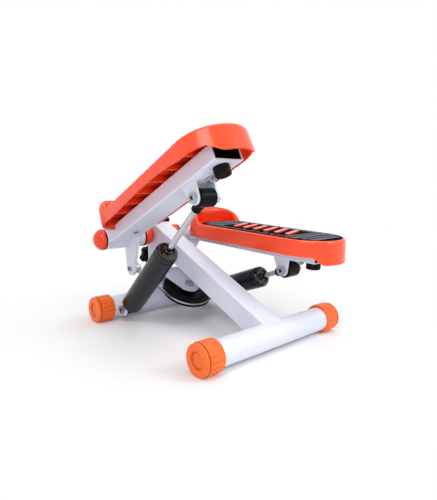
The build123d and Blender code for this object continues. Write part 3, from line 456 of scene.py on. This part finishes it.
def toe_curve(half, depth, power, end_s):
    """Plan of a toe as (x, s) pairs from side to side: straight arms and a rounded front."""
    steps = 24
    front = []
    for i in range(steps + 1):
        angle = math.pi * i / steps
        x = -half * math.copysign(abs(math.cos(angle)) ** (2 / power), math.cos(angle))
        front.append((x, SHELL_TOE_LINE - depth * math.sin(angle) ** (2 / power)))
    return [(-half, end_s)] + front + [(half, end_s)]


def shared_out(pairs, count):
    """count places spaced evenly along a plan curve."""
    places = [Vector((x, s)) for x, s in pairs]
    lengths = [(b - a).length for a, b in zip(places, places[1:])]
    out = []
    for i in range(count):
        left = sum(lengths) * i / (count - 1)
        k = 0
        while k < len(lengths) - 1 and left > lengths[k]:
            left -= lengths[k]
            k += 1
        out.append(places[k].lerp(places[k + 1], min(1, left / lengths[k])))
    return out


def guard_lean(n):
    """Share of its width that the guard keeps at height n: it closes in to a rounded arch."""
    rise, power = 0.031, 2.6
    if n <= DECK:
        return 1.0
    return (1 - ((n - DECK) / rise) ** power) ** (1 / power)


def guard_ring(word, outer, inner, skirt, t, bottom):
    """Section of the guard at t, which runs from -1 at one end over 0 in front to 1 at the other.

    It goes up the outside, over a rounded rim, down the inside and back under the deck.
    """
    proud_front, proud_end = 0.0003, -0.0002
    top_front, top_drop = 0.0303, 0.0330
    rim_radius, rim_share, waist_depth = 0.0022, 0.52, 0.0085
    inner_tuck, skirt_tuck = 0.0008, 0.0012
    proud_power, drop_power = 8, 5
    proud = proud_front - (proud_front - proud_end) * abs(t) ** proud_power
    top = DECK + top_front - top_drop * abs(t) ** drop_power
    rim_bottom = top - rim_radius
    waist = max(DECK, top - waist_depth)
    across = outer - inner
    away = across.normalized()

    def place(flat, n):
        return pedal_point(word, flat.x * guard_lean(n), flat.y, n)

    ring = [place(outer + away * (proud + SHELL_FLARE * (DECK - bottom)), bottom)]
    rim_outer = outer + away * proud
    steps = 8
    for step in range(steps + 1):
        share = math.sin(math.pi / 2 * step / steps)
        ring.append(place(rim_outer, DECK + (rim_bottom - DECK) * share))
    middle = (rim_outer + outer - across * rim_share) / 2
    for step in range(1, steps + 1):
        angle = math.pi * step / steps
        flat = middle + (rim_outer - middle) * math.cos(angle)
        ring.append(place(flat, rim_bottom + rim_radius * math.sin(angle)))
    steps = 5
    for step in range(1, steps + 1):
        share = step / steps
        lean = rim_share + (1 - rim_share) * math.sin(share * math.pi / 2)
        ring.append(place(outer - across * lean, rim_bottom + (waist - rim_bottom) * share))
    ring.append(place(inner, DECK - inner_tuck))
    ring.append(place(skirt, DECK - skirt_tuck))
    ring.append(place(skirt, bottom))
    return ring


def toe_guard(word):
    """Moulded hood round the toe, with a thin rounded rim that is highest in front."""
    count, end_s, clearance = 97, 0.088, 0.0008
    inner_half, inner_depth = 0.0521, 0.0194
    outer_power, inner_power = 2.5, 2.0
    skirt_bottom, edge_start, edge_blend = 0.0032, 0.050, 0.008
    edge_rise = OUTER_EDGE[0][1] - skirt_bottom
    skirt_half, skirt_depth = SHELL_HALF_WIDTH - SHELL_WALL, SHELL_TOE_DEPTH - SHELL_WALL
    outer = shared_out(toe_curve(SHELL_HALF_WIDTH, SHELL_TOE_DEPTH, outer_power, end_s), count)
    inner = shared_out(toe_curve(inner_half, inner_depth, inner_power, end_s), count)
    skirt = shared_out(toe_curve(skirt_half, skirt_depth, inner_power, end_s), count)
    rings = []
    for i in range(count):
        t = 2 * i / (count - 1) - 1
        outwards = outer[i].x * SIDE[word]
        bottom = skirt_bottom + max(0, min(1, (outwards - edge_start) / edge_blend)) * edge_rise
        if abs(outwards) < ARM_WIDTH / 2 + clearance:
            bottom = ARM_BOTTOM + ARM_HEIGHT + clearance
        rings.append(guard_ring(word, outer[i], inner[i], skirt[i], t, bottom))
    smooth(piece(f"{word}_toe_guard", skin(rings), SHELL, f"{word}_pedal"))


# ---------------------------------------------------------------- pedal shells


def edge_cutter(word):
    """Block below the outer skirt's lower edge, which rises in a shallow arch."""
    toe_s, below, inside_x, outside_x = 0.030, -0.020, 0.0500, 0.0680
    mesh = bmesh.new()
    line = [(toe_s, OUTER_EDGE[0][1]), *OUTER_EDGE, (OUTER_EDGE[-1][0], below), (toe_s, below)]
    near, far = ([mesh.verts.new(pedal_point(word, SIDE[word] * x, s, n)) for s, n in line]
                 for x in (inside_x, outside_x))
    for k in range(len(line)):
        n = (k + 1) % len(line)
        mesh.faces.new((near[k], near[n], far[n], far[k]))
    mesh.faces.new(near)
    mesh.faces.new(far)
    bmesh.ops.recalc_face_normals(mesh, faces=mesh.faces)
    data = bpy.data.meshes.new("cutter")
    mesh.to_mesh(data)
    mesh.free()
    cutter = bpy.data.objects.new("cutter", data)
    bpy.context.scene.collection.objects.link(cutter)
    return cutter


def pedal_shell(word):
    """The moulded pedal, its outer skirt cut to a shallow arch, in place of the CAD shell."""
    node = f"{word}_pedal_shell"
    mesh = bmesh.new()
    mesh.from_mesh(frame["nodes"][node].data)
    bmesh.ops.remove_doubles(mesh, verts=mesh.verts, dist=1e-6)
    shell = piece(f"{word}_pedal_moulding", mesh, SHELL, f"{word}_pedal")
    cutter = edge_cutter(word)
    cut = shell.modifiers.new("cut", "BOOLEAN")
    cut.operation = "DIFFERENCE"
    cut.solver = "EXACT"
    cut.object = cutter
    graph = bpy.context.evaluated_depsgraph_get()
    trimmed = bpy.data.meshes.new_from_object(shell.evaluated_get(graph))
    shell.modifiers.clear()
    shell.data = trimmed
    bpy.data.objects.remove(cutter)
    crease(shell, SHELL_SHARP)
    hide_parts(node)


# ---------------------------------------------------------------- pull cable


def cable_plane(x, u):
    """World place on the pulley's plane: x to the right and u forward of its centre."""
    return PULLEY_CENTRE + Vector((x, 0, 0)) + TUBE_ALONG * u


def cable_run(word):
    """Run of the cable from a lever's fitting to the pulley, and the angle where it meets it."""
    side = SIDE[word]
    bend_share, grip, count = 0.25, 0.013, 60
    bolt = pedal_point(word, side * (CABLE_X - PEDAL_X), CABLE_BOLT_S, CABLE_BOLT_N)
    bolt_u = (bolt - PULLEY_CENTRE).dot(TUBE_ALONG)
    touch = math.atan2(bolt_u, CABLE_X) - math.acos(GROOVE_RADIUS / math.hypot(CABLE_X, bolt_u))
    touch_x, touch_u = GROOVE_RADIUS * math.cos(touch), GROOVE_RADIUS * math.sin(touch)
    bend = cable_plane(side * (touch_x + (CABLE_X - touch_x) * bend_share),
                       touch_u + (bolt_u - touch_u) * bend_share)
    start = bolt + (bend - bolt).normalized() * grip
    end = cable_plane(side * touch_x, touch_u)
    run = []
    for i in range(count + 1):
        k = i / count
        run.append(start * (1 - k) ** 2 + bend * 2 * k * (1 - k) + end * k ** 2)
    return run, touch


def pull_cable():
    """Stranded cable round the pulley, its two runs drawn from the levers' fittings at rest."""
    radius, strands, lay, hollow, sides, steps = 0.0025, 6, 0.030, 0.12, 24, 130
    left, left_touch = cable_run("left")
    right, right_touch = cable_run("right")
    turn = math.pi + left_touch + right_touch
    arc = []
    for i in range(1, steps):
        angle = math.pi - left_touch + turn * i / steps
        arc.append(cable_plane(GROOVE_RADIUS * math.cos(angle), GROOVE_RADIUS * math.sin(angle)))

    def radius_at(distance, angle):
        swell = abs(math.cos(strands / 2 * (angle + 2 * math.pi * distance / lay)))
        return radius * (1 - hollow + hollow * swell)

    rings = rings_along(left + arc + right[::-1], radius_at, sides)
    # Each run is split at one ring, which leaves three stretches of cable.
    split, stiff = 34, 8
    last = len(rings) - 1 - split
    middle = cable_mesh("cable_round_pulley", rings[split:last + 1])
    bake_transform(middle)
    for word, part, run in (("left", rings[:split + 1], left), ("right", rings[last:], right)):
        thing = cable_mesh(f"{word}_cable_run", part)
        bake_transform(thing)


def cable_mesh(name, rings):
    """One stretch of the cable, which stands for the CAD cable."""
    thing = piece(name, skin(rings), WIRE, None)
    smooth(thing)
    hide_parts("pull_cable")
    return thing


# ---------------------------------------------------------------- arms


def arm_shade_liner(word):
    """Painted shade: a near-black sheet lining the inside of an arm, seen through its open heel
    end.
    """
    deep_s, edge_s = 0.200, ARM_END - 0.0015
    gap, thick, corner = 0.0001, 0.0003, 0.0015
    half_width, half_height = ARM_WIDTH / 2 - ARM_WALL, ARM_HEIGHT / 2 - ARM_WALL
    centre = ARM_BOTTOM + ARM_HEIGHT / 2
    rings = []
    for s, inset in ((deep_s, gap), (edge_s, gap), (edge_s, thick), (deep_s, thick)):
        outline = rounded_rectangle(half_width - inset, half_height - inset, corner)
        rings.append([pedal_point(word, a, s, centre + b) for a, b in outline])
    piece(f"{word}_arm_inside_shade", skin(rings, closed=True), INSIDE_SHADE, f"{word}_pedal")


# ---------------------------------------------------------------- pedal mats


def inside_mat(x, s):
    """Whether a place on the deck lies on the mat, clear of its edge and of the grip bars."""
    half, corner = 0.0535, 0.009
    nose_s, nose_half, nose_depth = 0.088, 0.0425, 0.023
    heel_s, heel_depth = 0.320, 0.053
    grip_half, grip_start, grip_end = 0.037, 0.144, 0.290
    if s < nose_s:
        return (x / nose_half) ** 2 + ((nose_s - s) / nose_depth) ** 2 < 1
    if s > heel_s:
        return (x / half) ** 2 + ((s - heel_s) / heel_depth) ** 2 < 1
    if s < nose_s + corner and abs(x) > half - corner:
        return math.hypot(abs(x) - half + corner, nose_s + corner - s) < corner
    in_grips = abs(x) < grip_half and grip_start < s < grip_end
    return abs(x) < half and not in_grips


def ridge(mesh, word, x, s, slant, length, height):
    """One rubber ridge with sloping sides, at a slant to the pedal's length."""
    base = DECK + 0.0004
    foot_half, top_half, end_slope = 0.0010, 0.0006, 0.0006
    along = (math.sin(slant), math.cos(slant))
    across = (math.cos(slant), -math.sin(slant))
    corners = []
    for half_length, half_width, n in ((length / 2, foot_half, base),
                                       (length / 2 - end_slope, top_half, base + height)):
        for u, v in ((-1, -1), (1, -1), (1, 1), (-1, 1)):
            cx = x + u * half_length * along[0] + v * half_width * across[0]
            cs = s + u * half_length * along[1] + v * half_width * across[1]
            corners.append(mesh.verts.new(pedal_point(word, cx, cs, n)))
    bottom, top = corners[:4], corners[4:]
    mesh.faces.new(top)
    mesh.faces.new(bottom[::-1])
    for k in range(4):
        mesh.faces.new((bottom[k], bottom[(k + 1) % 4], top[(k + 1) % 4], top[k]))


def mat_ribs(word):
    """Rows of slanted rubber ridges on a pedal's mat, each row slanting against the next. Their
    lighter grey is a painted sheen.
    """
    rows, first_s, row_pitch = 19, 0.073, 0.0165
    columns_each_side, ridge_pitch = 10, 0.0052
    slant, length, height = math.radians(24), 0.0130, 0.0007
    mesh = bmesh.new()
    for row in range(rows):
        s = first_s + row * row_pitch
        turn = slant if row % 2 else -slant
        half_x, half_s = math.sin(turn) * length / 2, math.cos(turn) * length / 2
        for number in range(-columns_each_side, columns_each_side + 1):
            x = number * ridge_pitch
            if all(inside_mat(x + k * half_x, s + k * half_s) for k in (-1, 0, 1)):
                ridge(mesh, word, x, s, turn, length, height)
    piece(f"{word}_mat_ribs", mesh, RIDGE_SHEEN, f"{word}_pedal")


# ---------------------------------------------------------------- bolts, screws and nuts


def cross_recess(name, body, centre, size, outward, along, across):
    """Cross recess in a bolt head that faces outward, dark with painted shade."""
    proud, sunk, width_share, turn = 0.00008, -0.0006, 0.30, math.radians(28)
    arm, width = size, size * width_share
    outline = [(width, width), (width, arm), (-width, arm), (-width, width),
               (-arm, width), (-arm, -width), (-width, -width), (-width, -arm),
               (width, -arm), (width, -width), (arm, -width), (arm, width)]
    mesh = bmesh.new()
    rings = []
    for depth in (proud, sunk):
        ring = []
        for a, b in outline:
            u = a * math.cos(turn) - b * math.sin(turn)
            v = a * math.sin(turn) + b * math.cos(turn)
            ring.append(mesh.verts.new(centre + outward * depth + along * u + across * v))
        rings.append(ring)
    face, floor = rings
    mesh.faces.new(face)
    mesh.faces.new(floor[::-1])
    for k in range(len(outline)):
        n = (k + 1) % len(outline)
        mesh.faces.new((face[k], face[n], floor[n], floor[k]))
    piece(name, mesh, RECESS_SHADE, body)


def bolt_recesses():
    """Cross recesses in the heads of the cylinder bolts, the cable bolts and the arm screws."""
    right, forward, up = Vector((1, 0, 0)), Vector((0, 1, 0)), Vector((0, 0, 1))
    upper_x, upper_s, upper_n = -0.0246, 0.2785, -0.0364
    lower_x, lower_y, lower_z = 0.116, FRONT_Y - 0.036, FOOT_Z + 0.0004
    bolt_size, screw_size = 0.0044, 0.0042
    for word, side in SIDE.items():
        body = f"{word}_pedal"
        upper = pedal_point(word, upper_x, upper_s, upper_n)
        cable_x = side * (CABLE_BOLT_FACE_X - PEDAL_X)
        cable = pedal_point(word, cable_x, CABLE_BOLT_S, CABLE_BOLT_N)
        lower = Vector((side * lower_x, lower_y, lower_z))
        for name, owner, centre, outward in (("upper", body, upper, -right),
                                             ("cable", body, cable, right * side),
                                             ("lower", "frame", lower, right * side)):
            cross_recess(f"{word}_{name}_bolt_recess", owner, centre, bolt_size,
                         outward, forward, up)
        screw = pedal_point(word, 0, ARM_SCREW_S, ARM_BOTTOM - ARM_SCREW_HEAD)
        down, heelward = pedal_direction(word, 0, -1), pedal_direction(word, 1, 0)
        cross_recess(f"{word}_arm_screw_recess", body, screw, screw_size, down, heelward, right)


def bracket_nut(word):
    """Hex nut and bolt end under the upper bracket."""
    gap, half_flats, height, bevel, chamfer = 0.0002, 0.0065, 0.0055, 0.0008, 0.0007
    thread, reach, thread_chamfer, sunk, sharp = 0.0032, 0.0085, 0.0006, 0.0004, math.radians(20)
    face = ARM_BOTTOM - BRACKET_PLATE - gap
    sides = 48
    angles = [2 * math.pi * k / sides for k in range(sides)]
    half_side = math.pi / 6
    hexagon = [half_flats / math.cos((a + half_side) % (2 * half_side) - half_side) for a in angles]
    rounded = [min(r, half_flats / math.cos(half_side) - chamfer) for r in hexagon]
    bar, tip = [thread] * sides, [thread - thread_chamfer] * sides

    def ring(radii, n):
        return [pedal_point(word, r * math.cos(a), BRACKET_SCREW_S + r * math.sin(a), n)
                for r, a in zip(radii, angles)]

    nut = [ring(hexagon, face), ring(hexagon, face - height + bevel), ring(rounded, face - height)]
    bolt = [ring(bar, face - height + sunk), ring(bar, face - reach + thread_chamfer),
            ring(tip, face - reach)]
    for name, rings in (("bracket_nut", nut), ("bracket_bolt_end", bolt)):
        crease(piece(f"{word}_{name}", skin(rings), ZINC, f"{word}_pedal"), sharp)


# ---------------------------------------------------------------- stage, light and camera


def camera_white(tree):
    """White emission of strength 1, and a factor: 1 for what is seen, mirrored or seen through."""
    white = tree.nodes.new("ShaderNodeEmission")
    white.inputs["Color"].default_value = (1, 1, 1, 1)
    white.inputs["Strength"].default_value = 1.0
    ray = tree.nodes.new("ShaderNodeLightPath")
    seen = ray.outputs["Is Camera Ray"]
    for kind in ("Is Glossy Ray", "Is Transmission Ray"):
        either = tree.nodes.new("ShaderNodeMath")
        either.operation = "MAXIMUM"
        tree.links.new(seen, either.inputs[0])
        tree.links.new(ray.outputs[kind], either.inputs[1])
        seen = either.outputs[0]
    return white, seen


def floor_material():
    """Pale matt floor that keeps the shadow near the machine and fades to white away from it."""
    fade_start, fade_end = 0.16, 0.50
    m = bpy.data.materials.new("floor_white")
    m.use_nodes = True
    tree = m.node_tree
    shader = tree.nodes["Principled BSDF"]
    shader.inputs["Base Color"].default_value = (0.92, 0.92, 0.92, 1)
    shader.inputs["Roughness"].default_value = 0.9
    shader.inputs["Specular IOR Level"].default_value = 0.0
    white, seen = camera_white(tree)
    coordinates = tree.nodes.new("ShaderNodeTexCoord")
    reach = tree.nodes.new("ShaderNodeVectorMath")
    reach.operation = "LENGTH"
    tree.links.new(coordinates.outputs["Object"], reach.inputs[0])
    fade = tree.nodes.new("ShaderNodeMapRange")
    fade.interpolation_type = "SMOOTHSTEP"
    fade.inputs["From Min"].default_value = fade_start
    fade.inputs["From Max"].default_value = fade_end
    tree.links.new(reach.outputs["Value"], fade.inputs["Value"])
    factor = tree.nodes.new("ShaderNodeMath")
    factor.operation = "MULTIPLY"
    tree.links.new(fade.outputs["Result"], factor.inputs[0])
    tree.links.new(seen, factor.inputs[1])
    mix = tree.nodes.new("ShaderNodeMixShader")
    tree.links.new(factor.outputs[0], mix.inputs["Fac"])
    tree.links.new(shader.outputs["BSDF"], mix.inputs[1])
    tree.links.new(white.outputs[0], mix.inputs[2])
    tree.links.new(mix.outputs[0], tree.nodes["Material Output"].inputs["Surface"])
    return m


def make_floor():
    """Large pale floor under the machine."""
    bpy.ops.mesh.primitive_plane_add(size=14, location=(0, 0, 0))
    floor = bpy.context.object
    floor.name = "floor"
    floor.data.materials.append(floor_material())


def make_world(strength):
    """Even soft light all round, and plain white behind everything."""
    world = bpy.data.worlds.new("studio")
    bpy.context.scene.world = world
    world.use_nodes = True
    tree = world.node_tree
    for node in list(tree.nodes):
        tree.nodes.remove(node)
    soft = tree.nodes.new("ShaderNodeBackground")
    soft.inputs["Color"].default_value = (0.92, 0.94, 1.0, 1)
    soft.inputs["Strength"].default_value = strength
    white, seen = camera_white(tree)
    mix = tree.nodes.new("ShaderNodeMixShader")
    out = tree.nodes.new("ShaderNodeOutputWorld")
    tree.links.new(seen, mix.inputs["Fac"])
    tree.links.new(soft.outputs[0], mix.inputs[1])
    tree.links.new(white.outputs[0], mix.inputs[2])
    tree.links.new(mix.outputs[0], out.inputs["Surface"])


def lamp(name, place, aim, size, power):
    """Soft square lamp that points at aim."""
    data = bpy.data.lights.new(name, "AREA")
    data.size = size
    data.energy = power
    ob = bpy.data.objects.new(name, data)
    bpy.context.scene.collection.objects.link(ob)
    ob.location = place
    ob.rotation_euler = (Vector(aim) - Vector(place)).to_track_quat("-Z", "Y").to_euler()


def make_lights():
    """Soft lamps: a large one above, a key from the camera's right, one from the left and a small
    one beside the camera for the bright bands on the plastic."""
    middle = (0, 0, 0.15)
    lamp("overhead", (0.25, -0.1, 1.7), middle, size=1.1, power=10)
    lamp("key", (0.75, -1.25, 1.15), middle, size=0.6, power=9)
    lamp("side", (-1.05, -0.55, 1.35), middle, size=0.7, power=7)
    lamp("front", (-0.85, -1.15, 0.62), (0, -0.1, 0.2), size=0.22, power=2.6)


def make_camera():
    """Camera low behind the machine's left, where the photograph was taken from."""
    place = Vector((-0.5115, REAR_Y - 0.4378, 0.2669))
    yaw, pitch, roll = math.radians(41.954), math.radians(-8.68), math.radians(0.1)
    level = math.cos(pitch)
    forward = Vector((math.sin(yaw) * level, math.cos(yaw) * level, math.sin(pitch)))
    right = forward.cross(Vector((0, 0, 1))).normalized()
    up = right.cross(forward)
    rolled_right = right * math.cos(roll) + up * math.sin(roll)
    rolled_up = up * math.cos(roll) - right * math.sin(roll)
    lens = bpy.data.cameras.new("camera")
    lens.lens = 30.64
    lens.sensor_width = 36
    lens.clip_start = 0.01
    camera = bpy.data.objects.new("camera", lens)
    bpy.context.scene.collection.objects.link(camera)
    turn = Matrix((rolled_right, rolled_up, -forward)).transposed().to_4x4()
    camera.matrix_world = Matrix.Translation(place) @ turn
    bpy.context.scene.camera = camera


dress_nodes()
frame_welds()
bolt_recesses()
pull_cable()
for word in SIDE:
    pedal_welds(word)
    pedal_shell(word)
    toe_guard(word)
    arm_shade_liner(word)
    mat_ribs(word)
    bracket_nut(word)
make_floor()
make_world(strength=0.56)
make_lights()
make_camera()
bpy.context.scene.view_settings.view_transform = "Standard"
